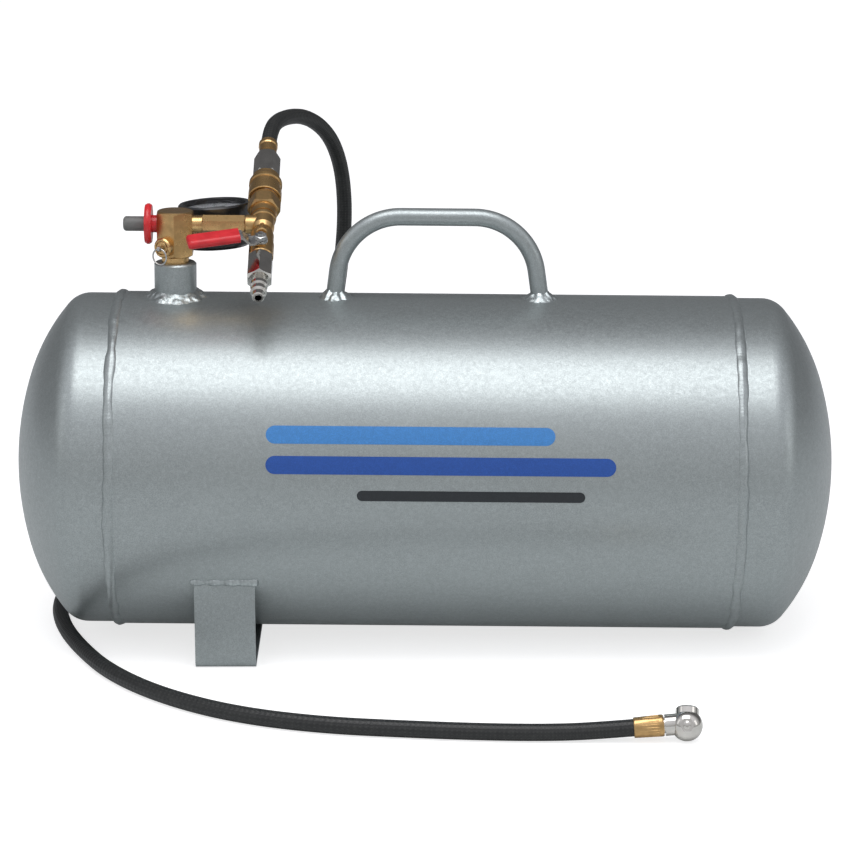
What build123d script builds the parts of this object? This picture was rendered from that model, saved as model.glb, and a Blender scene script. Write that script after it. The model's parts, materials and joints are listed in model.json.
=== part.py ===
"""Portable air tank: a welded aluminium pressure vessel with a carry handle and one strap foot, a brass
manifold with fill valve, relief valve and gauge, a ball valve, a quick coupler, and a hose with a tyre chuck.

Millimetres. Floor frame: origin on the floor under the middle of the tank, +X along the tank, +Y to the back,
+Z up. Most pieces are drawn in the tank's own frame, whose origin is the middle of the tank's axis, and the
stance then tips and lifts them: the tank stands on its one foot and on the weld seam at its other end.
"""

import os
from math import cos, pi, radians, sin, tan

from build123d import *

os.makedirs("parts", exist_ok=True)

# Tank
TANK_R = 114.3
WALL = 3.2
HEAD_R = 113.1
SEAM_X = 209.0
SKIRT_X = 230.0
HEAD_X = 278.7
KNUCKLE_R = 19.0
KNUCKLE_END = 40.0       # slope of the head's surface, up from the axis, where the knuckle ends
SHOULDER_END = 18.0      # and where the shoulder ends and the crown begins
BEAD_WIDTH = 7.0
BEAD_HEIGHT = 1.6
LEAN = 0.69

# Carry handle and foot
HANDLE_D = 12.0
HANDLE_BEND = 43.0
HANDLE_TOP = 169.9
HANDLE_FEET_X = (-63.0, 77.6)
HANDLE_CORNERS_X = (-56.0, 68.9)
FOOT_X = (-154.3, -113.7)
FOOT_HALF_DEPTH = 96.9
FOOT_PLATE = 3.2
FOOT_BEND = 5.0
FOOT_TOP = 60.5

# Half coupling and manifold
BUNG_X = -170.7
BUNG_R = 14.3
BUNG_TOP = 137.4
PORT_R = 9.2
HEX_FLATS = 23.8
HEX_LOW = 141.8
HEX_TOP = 172.9
PORT_Z = 163.6
RUN = 0.05            # running clearance of turned pieces

# Valve stack: tee, ball valve and coupler share one axis that rises to the back
STACK_X = -111.2
STACK_RISE = 25.0
STEM_AT = -31.0
LEVER_REST = 14.0

# Hose
HOSE_D = 11.0
HOSE_BORE = 6.4
HOSE_START = 82.5
HOSE_STRAIGHT = 28.1
BARB_R = 3.15

HALF_HEX = HEX_FLATS / 2
TANK_Z = SEAM_X * sin(radians(LEAN)) + (TANK_R + BEAD_HEIGHT) * cos(radians(LEAN))
STANCE = Location((0, 0, TANK_Z), (0, LEAN, 0))

pieces = {}


def keep(name, builder, stance=STANCE):
    """Label a finished piece and move it from the tank's frame to the floor frame."""
    builder.part.label = name
    placed = builder.part.moved(stance)
    placed.label = name
    pieces[name] = placed


def side_view(plane):
    """The plane that holds the given plane's X and Z directions: radius across, height up."""
    return Plane(origin=plane.origin, x_dir=plane.x_dir, z_dir=-plane.y_dir)


def shifted(plane, x=0.0, y=0.0, z=0.0):
    """The same plane with its origin moved along its own directions."""
    origin = plane.origin + plane.x_dir * x + plane.y_dir * y + plane.z_dir * z
    return Plane(origin=origin, x_dir=plane.x_dir, z_dir=plane.z_dir)


def lathe(plane, *outline, mode=Mode.ADD):
    """Turn a closed outline of (radius, height) points about the plane's Z direction."""
    with BuildSketch(side_view(plane)) as section:
        with BuildLine():
            Polyline(*outline, close=True)
        make_face()
    revolve(section.sketch, axis=Axis(plane.origin, plane.z_dir), mode=mode)


def bar(plane, radius, low, high, mode=Mode.ADD):
    """A round bar between two heights."""
    lathe(plane, (0, low), (radius, low), (radius, high), (0, high), mode=mode)


def ring(plane, inner, outer, low, high, mode=Mode.ADD):
    """A plain ring between two heights."""
    lathe(plane, (inner, low), (outer, low), (outer, high), (inner, high), mode=mode)


def hex_bar(plane, flats, low, high, turn=0.0, bevel=0.9):
    """A hexagonal bar with both ends turned to a bevel; the first piece made in its part."""
    corner = flats / 2 / cos(radians(30))
    with BuildSketch(shifted(plane, z=low)) as hexagon:
        RegularPolygon(corner, 6, rotation=turn)
    extrude(hexagon.sketch, amount=high - low)
    flat = flats / 2 - bevel / 2
    drop = (corner - flat) * tan(radians(30))
    lathe(plane, (0, low), (flat, low), (corner, low + drop), (corner, high - drop), (flat, high), (0, high),
          mode=Mode.INTERSECT)


def coil(plane, radius, wire, low, high, turns):
    """A helical spring between two heights."""
    pitch = (high - low - 2 * wire) / turns
    start = shifted(plane, z=low + wire)
    with BuildLine() as spine:
        Helix(pitch=pitch, height=pitch * turns, radius=radius, center=start.origin, direction=start.z_dir)
    with BuildSketch(Plane(origin=spine.line @ 0, z_dir=spine.line % 0)) as section:
        Circle(wire / 2)
    sweep(section.sketch, path=spine.line, is_frenet=True)


# ---------------------------------------------------------------- tank

# The shoulder and crown radii that make the head's three arcs tangent and end it on the axis at HEAD_X
knuckle_cos = cos(radians(KNUCKLE_END))
knuckle_sin = sin(radians(KNUCKLE_END))
crown_tan = tan(radians(SHOULDER_END) / 2)
head_rise = HEAD_R - KNUCKLE_R + KNUCKLE_R * knuckle_sin
SHOULDER_R = (HEAD_X - SKIRT_X - KNUCKLE_R * knuckle_cos - crown_tan * head_rise) \
    / (1 - knuckle_cos - crown_tan * knuckle_sin)
SHOULDER_X = SKIRT_X - (SHOULDER_R - KNUCKLE_R) * knuckle_cos
SHOULDER_Z = HEAD_R - KNUCKLE_R - (SHOULDER_R - KNUCKLE_R) * knuckle_sin
CROWN_R = SHOULDER_R + SHOULDER_Z / sin(radians(SHOULDER_END))


def head_outline(inset):
    """Half section of the dished head, drawn the given distance inside its outer face."""
    knuckle = CenterArc((SKIRT_X, HEAD_R - KNUCKLE_R), KNUCKLE_R - inset, 90, KNUCKLE_END - 90)
    CenterArc((SHOULDER_X, SHOULDER_Z), SHOULDER_R - inset, KNUCKLE_END, SHOULDER_END - KNUCKLE_END)
    crown = CenterArc((HEAD_X - CROWN_R, 0), CROWN_R - inset, SHOULDER_END, -SHOULDER_END)
    Line((SEAM_X, HEAD_R - inset), knuckle @ 0)
    Polyline(crown @ 1, (SEAM_X, 0), (SEAM_X, HEAD_R - inset))


with BuildPart() as tank_body:
    with Locations(Plane.YZ):
        Cylinder(TANK_R, 2 * SEAM_X)

with BuildPart() as tank_shell:
    with BuildSketch(Plane.YZ.offset(-SEAM_X)):
        Circle(TANK_R)
        Circle(TANK_R - WALL, mode=Mode.SUBTRACT)
    extrude(amount=2 * SEAM_X)
    with BuildSketch():
        with Locations((BUNG_X, 0)):
            Circle(PORT_R)
    extrude(amount=TANK_R + WALL, mode=Mode.SUBTRACT)
keep("tank_shell", tank_shell)

with BuildPart() as right_head:
    with BuildSketch(Plane.XZ):
        with BuildLine():
            head_outline(0)
        make_face()
    revolve(axis=Axis.X)
    with BuildSketch(Plane.XZ):
        with BuildLine():
            head_outline(WALL)
        make_face()
    revolve(axis=Axis.X, mode=Mode.SUBTRACT)
keep("right_head", right_head)

with BuildPart() as left_head:
    mirror(right_head.part, about=Plane.YZ)
keep("left_head", left_head)

with BuildPart() as seam_welds:
    for side in (-1, 1):
        with BuildSketch(Plane.XZ) as bead:
            with BuildLine():
                Polyline((side * (SEAM_X - BEAD_WIDTH / 2), TANK_R), (side * SEAM_X, TANK_R),
                         (side * SEAM_X, HEAD_R), (side * (SEAM_X + BEAD_WIDTH / 2), HEAD_R))
                ThreePointArc((side * (SEAM_X + BEAD_WIDTH / 2), HEAD_R), (side * SEAM_X, TANK_R + BEAD_HEIGHT),
                              (side * (SEAM_X - BEAD_WIDTH / 2), TANK_R))
            make_face()
        revolve(bead.sketch, axis=Axis.X)
keep("seam_welds", seam_welds)

# ---------------------------------------------------------------- handle

with BuildPart() as carry_handle:
    with BuildLine(Plane.XZ) as handle_path:
        FilletPolyline((HANDLE_FEET_X[0], TANK_R - 3), (HANDLE_CORNERS_X[0], HANDLE_TOP),
                       (HANDLE_CORNERS_X[1], HANDLE_TOP), (HANDLE_FEET_X[1], TANK_R - 3), radius=HANDLE_BEND)
    with BuildSketch(Plane(origin=handle_path.line @ 0, z_dir=handle_path.line % 0)):
        Circle(HANDLE_D / 2)
    sweep(path=handle_path.line)
    add(tank_body.part, mode=Mode.SUBTRACT)
keep("carry_handle", carry_handle)

with BuildPart() as handle_welds:
    for foot_x in HANDLE_FEET_X:
        foot = Plane(origin=(foot_x, 0, 0))
        lathe(foot, (0, TANK_R - 4), (11.5, TANK_R - 4), (11.5, TANK_R - 0.6), (9.0, TANK_R + 2.2),
              (6.4, TANK_R + 7.0), (0, TANK_R + 7.0))
    add(tank_body.part, mode=Mode.SUBTRACT)
    add(carry_handle.part, mode=Mode.SUBTRACT)
keep("handle_welds", handle_welds)

# ---------------------------------------------------------------- foot, drawn in the floor frame

FOOT_WIDTH = FOOT_X[1] - FOOT_X[0]
tank_in_floor_frame = tank_body.part.moved(STANCE)

with BuildPart() as foot_strap:
    with BuildSketch(Plane.YZ.offset(FOOT_X[0])):
        with BuildLine() as strap_line:
            FilletPolyline((-FOOT_HALF_DEPTH, FOOT_TOP), (-FOOT_HALF_DEPTH, 0), (FOOT_HALF_DEPTH, 0),
                           (FOOT_HALF_DEPTH, FOOT_TOP), radius=FOOT_BEND)
            FilletPolyline((-FOOT_HALF_DEPTH + FOOT_PLATE, FOOT_TOP), (-FOOT_HALF_DEPTH + FOOT_PLATE, FOOT_PLATE),
                           (FOOT_HALF_DEPTH - FOOT_PLATE, FOOT_PLATE), (FOOT_HALF_DEPTH - FOOT_PLATE, FOOT_TOP),
                           radius=FOOT_BEND - FOOT_PLATE)
            Line((-FOOT_HALF_DEPTH, FOOT_TOP), (-FOOT_HALF_DEPTH + FOOT_PLATE, FOOT_TOP))
            Line((FOOT_HALF_DEPTH, FOOT_TOP), (FOOT_HALF_DEPTH - FOOT_PLATE, FOOT_TOP))
        make_face()
    extrude(amount=FOOT_WIDTH)
    add(tank_in_floor_frame, mode=Mode.SUBTRACT)
keep("foot_strap", foot_strap, Location())

with BuildPart() as foot_welds:
    for side in (-1, 1):
        with BuildSketch(Plane.YZ.offset(FOOT_X[0] - 2)):
            with Locations((side * (FOOT_HALF_DEPTH - 0.6), FOOT_TOP - 0.5)):
                Circle(3.4)
        extrude(amount=FOOT_WIDTH + 4)
    add(tank_in_floor_frame, mode=Mode.SUBTRACT)
    add(foot_strap.part, mode=Mode.SUBTRACT)
keep("foot_welds", foot_welds, Location())

# ---------------------------------------------------------------- half coupling and manifold

BUNG = Plane(origin=(BUNG_X, 0, 0))

with BuildPart() as half_coupling:
    bar(BUNG, BUNG_R, TANK_R - 5, BUNG_TOP)
    chamfer(half_coupling.faces().sort_by(Axis.Z)[-1].edges(), 1.0)
    bar(BUNG, PORT_R, TANK_R - 10, BUNG_TOP + 1, mode=Mode.SUBTRACT)
    add(tank_body.part, mode=Mode.SUBTRACT)
keep("half_coupling", half_coupling)

with BuildPart() as coupling_weld:
    lathe(BUNG, (BUNG_R, TANK_R - 6), (21.0, TANK_R - 6), (20.2, TANK_R - 1.2), (17.4, TANK_R + 2.0),
          (BUNG_R, TANK_R + 6.5))
    add(tank_body.part, mode=Mode.SUBTRACT)
keep("coupling_weld", coupling_weld)

FILL_ANGLE, OUTLET_ANGLE, GAUGE_ANGLE, RELIEF_ANGLE = 180, 0, 60, 240
GAUGE_PORT_Z = 155.0
RELIEF_PORT_Z = 149.6
FILL_BORE = 5.35
OUTLET_BORE = 6.2
SMALL_BORE = 4.6


def port(angle, height):
    """Plane of a manifold port: origin on the manifold's axis, Z out of the port, Y up."""
    out = (cos(radians(angle)), sin(radians(angle)), 0)
    across = (-sin(radians(angle)), cos(radians(angle)), 0)
    return Plane(origin=(BUNG_X, 0, height), x_dir=across, z_dir=out)


FILL = port(FILL_ANGLE, PORT_Z)
OUTLET = port(OUTLET_ANGLE, PORT_Z)
GAUGE = port(GAUGE_ANGLE, GAUGE_PORT_Z)
RELIEF = port(RELIEF_ANGLE, RELIEF_PORT_Z)

with BuildPart() as manifold_body:
    hex_bar(BUNG, HEX_FLATS, HEX_LOW, HEX_TOP, turn=30, bevel=1.6)
    bar(BUNG, PORT_R, BUNG_TOP - 16, HEX_LOW)
    bar(BUNG, 4.0, BUNG_TOP - 17, HEX_TOP - 4, mode=Mode.SUBTRACT)
    bar(FILL, 3.4, 0, HALF_HEX + 1, mode=Mode.SUBTRACT)
    bar(FILL, FILL_BORE, 3.2, HALF_HEX + 1, mode=Mode.SUBTRACT)
    bar(OUTLET, OUTLET_BORE, 5.5, HALF_HEX + 1, mode=Mode.SUBTRACT)
    bar(OUTLET, 3.4, 0, HALF_HEX + 1, mode=Mode.SUBTRACT)
    for branch in (GAUGE, RELIEF):
        bar(branch, SMALL_BORE, 5.5, HALF_HEX + 1, mode=Mode.SUBTRACT)
        bar(branch, 2.2, 0, HALF_HEX + 1, mode=Mode.SUBTRACT)
keep("manifold_body", manifold_body)

# ---------------------------------------------------------------- fill valve and its shut-off knob

TUBE_R = 3.85
KNOB_R = 13.8
KNOB_IN, KNOB_OUT = 15.6, 20.2
CAP_R = 5.05
CAP_START, CAP_END = 20.8, 35.0
TUBE_END = 31.0

with BuildPart() as fill_valve_body:
    bar(FILL, 3.35, 1.5, 4.0)
    bar(FILL, TUBE_R, 4.0, TUBE_END)
    bar(FILL, 1.2, 0, TUBE_END + 1, mode=Mode.SUBTRACT)
    bar(FILL, 2.5, 12.0, TUBE_END + 1, mode=Mode.SUBTRACT)
    ring(FILL, 0.8, 2.6, 20.0, 21.4)
    lathe(FILL, (0, TUBE_END - 1), (2.5, TUBE_END - 1), (3.2, TUBE_END + 0.1), (0, TUBE_END + 0.1),
          mode=Mode.SUBTRACT)
keep("fill_valve_body", fill_valve_body)

with BuildPart() as fill_valve_core:
    lathe(FILL, (0, 17.5), (2.2, 17.5), (2.2, 19.5), (0.7, 19.9), (0.7, 30.4), (0, 30.4))
    bar(FILL, 1.5, 28.4, 29.2)
keep("fill_valve_core", fill_valve_core)

with BuildPart() as fill_valve_spring:
    coil(FILL, 1.55, 0.4, 21.45, 28.35, 6)
keep("fill_valve_spring", fill_valve_spring)

with BuildPart() as valve_cap:
    bar(FILL, CAP_R, CAP_START, CAP_END)
    fillet(valve_cap.edges().sort_by(Axis(FILL.origin, FILL.z_dir))[-1], 2.4)
    bar(FILL, TUBE_R + RUN, CAP_START - 1, TUBE_END + 0.3, mode=Mode.SUBTRACT)
keep("valve_cap", valve_cap)

with BuildPart() as shutoff_knob:
    lathe(FILL, (0, 12.1), (5.9, 12.1), (5.9, KNOB_IN), (KNOB_R - 1.0, KNOB_IN), (KNOB_R, KNOB_IN + 1.6),
          (KNOB_R, KNOB_OUT - 1.6), (KNOB_R - 1.0, KNOB_OUT), (0, KNOB_OUT))
    lathe(FILL, (6.6, KNOB_OUT - 0.9), (11.4, KNOB_OUT - 0.9), (12.0, KNOB_OUT + 1), (6.0, KNOB_OUT + 1),
          mode=Mode.SUBTRACT)
    bar(FILL, TUBE_R + RUN, 0, 30, mode=Mode.SUBTRACT)
    bar(FILL, FILL_BORE - RUN, 0, 16.0, mode=Mode.SUBTRACT)
keep("shutoff_knob", shutoff_knob)

with BuildPart() as shutoff_spindle:
    ring(FILL, TUBE_R + RUN, FILL_BORE - RUN, 8.0, 16.0)
keep("shutoff_spindle", shutoff_spindle)

with BuildPart() as shutoff_seal:
    ring(FILL, TUBE_R + RUN, FILL_BORE - RUN, 4.2, 6.3)
keep("shutoff_seal", shutoff_seal)

# ---------------------------------------------------------------- relief valve with its pull ring

RELIEF_END = 16.2
EYE_AT = 18.8
PULL_RING_R = 5.4
PULL_WIRE = 1.1

with BuildPart() as relief_valve_body:
    bar(RELIEF, SMALL_BORE, 6.0, HALF_HEX)
    lathe(RELIEF, (0, HALF_HEX), (6.7, HALF_HEX), (6.7, RELIEF_END - 0.9), (5.9, RELIEF_END), (0, RELIEF_END))
    bar(RELIEF, 1.5, 5, RELIEF_END + 1, mode=Mode.SUBTRACT)
    bar(RELIEF, 3.6, 8.0, RELIEF_END + 1, mode=Mode.SUBTRACT)
    bar(RELIEF, 4.8, 14.8, RELIEF_END + 1, mode=Mode.SUBTRACT)
keep("relief_valve_body", relief_valve_body)

with BuildPart() as relief_cap:
    hex_bar(RELIEF, 8.2, 14.85, 16.7, turn=0, bevel=0.6)
    bar(RELIEF, 1.1 + RUN, 14, 18, mode=Mode.SUBTRACT)
keep("relief_cap", relief_cap)

with BuildPart() as relief_stem:
    bar(RELIEF, 1.1, 9.6, EYE_AT + 1.9)
    bar(RELIEF, 3.1, 8.05, 9.6)
    with Locations(Plane(origin=shifted(RELIEF, z=EYE_AT).origin, x_dir=RELIEF.z_dir, z_dir=RELIEF.x_dir)):
        Cylinder(1.9, 1.9)
    with Locations(Plane(origin=shifted(RELIEF, z=EYE_AT).origin, x_dir=RELIEF.z_dir, z_dir=RELIEF.x_dir)):
        Cylinder(1.0, 4, mode=Mode.SUBTRACT)
keep("relief_stem", relief_stem)

with BuildPart() as relief_spring:
    coil(RELIEF, 2.2, 0.6, 9.65, 14.8, 4)
keep("relief_spring", relief_spring)

with BuildPart() as pull_ring:
    with Locations(shifted(RELIEF, y=-PULL_RING_R, z=EYE_AT)):
        Torus(PULL_RING_R, PULL_WIRE / 2)
keep("pull_ring", pull_ring)

# ---------------------------------------------------------------- gauge

GAUGE_REACH = 50.0
GAUGE_R = 24.0
GAUGE_TILT = 4.0
gauge_centre = shifted(GAUGE, z=GAUGE_REACH).origin
face_normal = GAUGE.y_dir * cos(radians(GAUGE_TILT)) + GAUGE.x_dir * sin(radians(GAUGE_TILT))
DIAL = Plane(origin=gauge_centre, x_dir=GAUGE.z_dir, z_dir=face_normal)
CASE_BACK, CASE_FRONT = -14.8, 12.6

with BuildPart() as gauge_stem:
    hex_bar(GAUGE, 11.1, 15.0, 22.5, turn=30, bevel=0.6)
    bar(GAUGE, SMALL_BORE, 6.0, 15.0)
    bar(GAUGE, 4.2, 22.5, 30.0)
    bar(GAUGE, 1.4, 5, 31, mode=Mode.SUBTRACT)
keep("gauge_stem", gauge_stem)

with BuildPart() as gauge_case:
    lathe(DIAL, (0, CASE_BACK), (GAUGE_R - 2, CASE_BACK), (GAUGE_R, CASE_BACK + 2), (GAUGE_R, CASE_FRONT),
          (GAUGE_R - 1.2, CASE_FRONT), (GAUGE_R - 1.2, CASE_BACK + 1.2), (0, CASE_BACK + 1.2))
    bar(GAUGE, 4.25, 20, 31, mode=Mode.SUBTRACT)
keep("gauge_case", gauge_case)

with BuildPart() as gauge_bezel:
    lathe(DIAL, (GAUGE_R + 0.02, 5.5), (25.2, 5.5), (25.2, CASE_FRONT + 1.4), (24.2, CASE_FRONT + 2.4),
          (22.4, CASE_FRONT + 2.4), (21.4, CASE_FRONT + 1.6), (21.4, CASE_FRONT + 0.03),
          (GAUGE_R + 0.02, CASE_FRONT + 0.03))
keep("gauge_bezel", gauge_bezel)

with BuildPart() as gauge_lens:
    bar(DIAL, GAUGE_R - 1.25, CASE_FRONT - 1.3, CASE_FRONT)
keep("gauge_lens", gauge_lens)

DIAL_BACK = 9.4

with BuildPart() as gauge_dial:
    ring(DIAL, 1.6, GAUGE_R - 1.25, DIAL_BACK, DIAL_BACK + 0.6)
keep("gauge_dial", gauge_dial)

POINTER_REST = radians(135)
POINTER = Plane(origin=DIAL.origin, x_dir=DIAL.x_dir * cos(POINTER_REST) + DIAL.y_dir * sin(POINTER_REST),
                z_dir=DIAL.z_dir)

with BuildPart() as gauge_pointer:
    with BuildSketch(shifted(POINTER, z=DIAL_BACK + 1.0)):
        with BuildLine():
            Polyline((-7.0, -1.3), (-7.0, 1.3), (0, 0.9), (19.0, 0.2), (19.0, -0.2), (0, -0.9), close=True)
        make_face()
        Circle(2.2)
    extrude(amount=0.5)
    bar(DIAL, 0.9, -3.0, DIAL_BACK + 1.7)
    ring(DIAL, 0, 2.6, -1.4, 0.2)
keep("gauge_pointer", gauge_pointer)

with BuildPart() as gauge_movement:
    with BuildSketch(shifted(DIAL, z=-5.0)):
        with Locations((-3.0, 0)):
            Rectangle(20, 13)
    extrude(amount=1.2)
    with BuildSketch(shifted(DIAL, z=2.6)):
        with Locations((-3.0, 0)):
            Rectangle(20, 13)
    extrude(amount=1.2)
    with Locations(shifted(DIAL, x=-11.0, y=4.5, z=-0.6), shifted(DIAL, x=-11.0, y=-4.5, z=-0.6)):
        Cylinder(1.2, 7.4)
    bar(DIAL, 0.9 + RUN, -6, 6, mode=Mode.SUBTRACT)
keep("gauge_movement", gauge_movement)

with BuildPart() as bourdon_tube:
    with BuildLine(shifted(DIAL, z=-0.8)) as tube_path:
        CenterArc((0, 0), 17.5, 200, 280)
    with BuildSketch(Plane(origin=tube_path.line @ 0, z_dir=tube_path.line % 0)):
        Circle(1.6)
    sweep(path=tube_path.line)
keep("bourdon_tube", bourdon_tube)

# ---------------------------------------------------------------- tee and extension

STACK = Plane(origin=(STACK_X, 0, PORT_Z), x_dir=(-1, 0, 0),
              z_dir=(0, cos(radians(STACK_RISE)), sin(radians(STACK_RISE))))
BRANCH = Plane(origin=STACK.origin, x_dir=STACK.z_dir, z_dir=(-1, 0, 0))
BRANCH_END = 12.0
BRANCH_BORE = 4.6
REACH = STACK_X - BUNG_X - BRANCH_END

with BuildPart() as extension_nipple:
    hex_bar(OUTLET, 11.1, HALF_HEX + 6.5, REACH, turn=30, bevel=0.4)
    bar(OUTLET, OUTLET_BORE - 0.02, 6.0, HALF_HEX + 6.5)
    for thread in range(5):
        ring(OUTLET, 5.7, 7.0, HALF_HEX + 0.6 + 1.2 * thread, HALF_HEX + 1.1 + 1.2 * thread, mode=Mode.SUBTRACT)
    bar(OUTLET, BRANCH_BORE - 0.02, REACH, REACH + 6.0)
    bar(OUTLET, 3.0, 5, REACH + 7, mode=Mode.SUBTRACT)
keep("extension_nipple", extension_nipple)

TEE_FRONT, TEE_BACK = -8.0, 7.6
COUPLER_THREAD, VALVE_THREAD = 5.9, 5.0
THREAD_START = 3.7

with BuildPart() as tee_body:
    lathe(STACK, (0, TEE_FRONT), (6.6, TEE_FRONT), (7.8, -4.5), (7.8, 3.8), (8.4, 4.4), (8.4, TEE_BACK - 0.6),
          (7.8, TEE_BACK), (0, TEE_BACK))
    lathe(BRANCH, (0, 0), (6.6, 0), (6.6, BRANCH_END - 0.5), (6.1, BRANCH_END), (0, BRANCH_END))
    bar(STACK, 3.4, TEE_FRONT - 1, TEE_BACK + 1, mode=Mode.SUBTRACT)
    bar(STACK, COUPLER_THREAD + 0.02, THREAD_START - 0.1, TEE_BACK + 1, mode=Mode.SUBTRACT)
    bar(STACK, VALVE_THREAD + 0.02, TEE_FRONT - 1, -2.0, mode=Mode.SUBTRACT)
    bar(BRANCH, 3.4, 0, BRANCH_END + 1, mode=Mode.SUBTRACT)
    bar(BRANCH, BRANCH_BORE, BRANCH_END - 6.2, BRANCH_END + 1, mode=Mode.SUBTRACT)
keep("tee_body", tee_body)

# ---------------------------------------------------------------- ball valve

VALVE_FRONT = -38.0
STEM = Plane(origin=shifted(STACK, z=STEM_AT).origin, x_dir=STACK.x_dir, z_dir=STACK.y_dir)
STEM_R = 1.95
BALL_R = 4.5
SPIGOT_R = 5.55
CAVITY_R = 6.2

with BuildPart() as ball_valve_body:
    lathe(STACK, (0, -9.6), (6.4, -9.6), (7.9, -13.0), (7.9, -22.5), (8.4, -23.5), (8.4, VALVE_FRONT + 0.6),
          (8.0, VALVE_FRONT), (0, VALVE_FRONT))
    bar(STACK, 6.4, -9.6, TEE_FRONT)
    bar(STACK, VALVE_THREAD, TEE_FRONT, -2.5)
    bar(STEM, 4.3, 5.5, 9.3)
    boss = shifted(STACK, y=6.6)
    lathe(boss, (0, -8.6), (1.6, -8.6), (3.9, -16.5), (3.9, -17.6), (3.2, -18.4), (0, -18.4))
    bar(STACK, 2.4, VALVE_FRONT - 1, -1, mode=Mode.SUBTRACT)
    bar(STACK, CAVITY_R, VALVE_FRONT - 1, -24.5, mode=Mode.SUBTRACT)
    bar(STEM, STEM_R + RUN, 0, 12, mode=Mode.SUBTRACT)
    bar(STEM, 3.2, 7.2, 12, mode=Mode.SUBTRACT)
keep("ball_valve_body", ball_valve_body)

with BuildPart() as valve_tailpiece:
    bar(STACK, CAVITY_R - 0.02, VALVE_FRONT, -36.6)
    bar(STACK, SPIGOT_R, -48.0, VALVE_FRONT)
    bar(STACK, 2.4, -49, -30, mode=Mode.SUBTRACT)
keep("valve_tailpiece", valve_tailpiece)

with BuildPart() as valve_seats:
    ring(STACK, 2.4, CAVITY_R - 0.05, -36.55, STEM_AT - 3.0)
    ring(STACK, 2.4, CAVITY_R - 0.05, STEM_AT + 3.0, -24.55)
    with Locations(Plane(origin=STEM.origin)):
        Sphere(BALL_R + RUN, mode=Mode.SUBTRACT)
keep("valve_seats", valve_seats)

LEVER_DIR = STACK.x_dir * cos(radians(LEVER_REST)) - STACK.z_dir * sin(radians(LEVER_REST))
LEVER = Plane(origin=STEM.origin, x_dir=LEVER_DIR, z_dir=STEM.z_dir)

with BuildPart() as valve_ball:
    with Locations(LEVER):
        Sphere(BALL_R)
    bore_plane = Plane(origin=LEVER.origin, x_dir=LEVER.z_dir, z_dir=LEVER.x_dir)
    bar(bore_plane, 2.3, -6, 6, mode=Mode.SUBTRACT)
    with BuildSketch(shifted(LEVER, z=3.1)):
        Rectangle(10, 1.7)
    extrude(amount=3, mode=Mode.SUBTRACT)
keep("valve_ball", valve_ball)

with BuildPart() as valve_stem:
    bar(LEVER, STEM_R, 4.6, 16.2)
    bar(LEVER, 2.7, 4.6, 5.4)
    with BuildSketch(shifted(LEVER, z=3.15)):
        Rectangle(3.8, 1.6)
    extrude(amount=1.6)
keep("valve_stem", valve_stem)

with BuildPart() as stem_packing:
    ring(LEVER, STEM_R + RUN, 3.15, 7.25, 9.0)
keep("stem_packing", stem_packing)

ARM_LOW, ARM_THICK, ARM_RISE, ARM_WIDTH = 9.7, 1.6, 6.0, 9.0
GRIP_FROM, GRIP_TO = 14.6, 49.8

with BuildPart() as lever_arm:
    with BuildSketch(side_view(LEVER)):
        with BuildLine():
            Polyline((-4.5, ARM_LOW), (8.0, ARM_LOW), (13.0, ARM_LOW + ARM_RISE), (47.5, ARM_LOW + ARM_RISE),
                     (47.5, ARM_LOW + ARM_RISE + ARM_THICK), (12.3, ARM_LOW + ARM_RISE + ARM_THICK),
                     (7.3, ARM_LOW + ARM_THICK), (-4.5, ARM_LOW + ARM_THICK), close=True)
        make_face()
    extrude(amount=ARM_WIDTH / 2, both=True)
    fillet(lever_arm.edges().filter_by(Axis(LEVER.origin, LEVER.z_dir)), 3.9)
    bar(LEVER, STEM_R + 0.02, 5, 15, mode=Mode.SUBTRACT)
keep("lever_arm", lever_arm)

with BuildPart() as lever_grip:
    grip_middle = ARM_LOW + ARM_RISE + ARM_THICK / 2
    with BuildSketch(shifted(Plane(origin=LEVER.origin, x_dir=LEVER.y_dir, z_dir=LEVER.x_dir),
                             y=grip_middle, z=GRIP_FROM)):
        RectangleRounded(12.2, 6.4, 3.0)
    extrude(amount=GRIP_TO - GRIP_FROM)
    fillet(lever_grip.edges().group_by(Axis(LEVER.origin, LEVER.x_dir))[-1], 2.4)
    add(lever_arm.part, mode=Mode.SUBTRACT)
keep("lever_grip", lever_grip)

with BuildPart() as lever_nut:
    hex_bar(LEVER, 7.2, ARM_LOW + ARM_THICK, ARM_LOW + ARM_THICK + 3.4, turn=15, bevel=0.8)
    bar(LEVER, STEM_R + 0.02, 5, 20, mode=Mode.SUBTRACT)
keep("lever_nut", lever_nut)

# ---------------------------------------------------------------- quick-connect plugs

PLUG_FLATS = 15.9
PLUG_HEX = 24.0
PLUG_BORE = SPIGOT_R + 0.02


def quick_plug(plane, turn):
    """Female-threaded plug: hexagon from height 0, then the grooved nipple."""
    hex_bar(plane, PLUG_FLATS, 0, PLUG_HEX, turn=turn, bevel=1.6)
    tip = PLUG_HEX
    lathe(plane, (0, tip), (4.3, tip), (4.3, tip + 3.6), (5.8, tip + 4.6), (5.8, tip + 7.4), (4.7, tip + 8.4),
          (4.7, tip + 10.6), (5.5, tip + 11.4), (5.5, tip + 13.2), (4.2, tip + 14.6), (4.2, tip + 18.4),
          (3.5, tip + 19.1), (0, tip + 19.1))
    bar(plane, 2.3, -1, tip + 20, mode=Mode.SUBTRACT)
    bar(plane, PLUG_BORE, -1, 10.5, mode=Mode.SUBTRACT)


OUTLET_PLUG = Plane(origin=shifted(STACK, z=VALVE_FRONT).origin, x_dir=STACK.x_dir, z_dir=-STACK.z_dir)
PLUG_AT = 77.9
HOSE_PLUG = Plane(origin=shifted(STACK, z=PLUG_AT).origin, x_dir=STACK.x_dir, z_dir=-STACK.z_dir)

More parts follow.
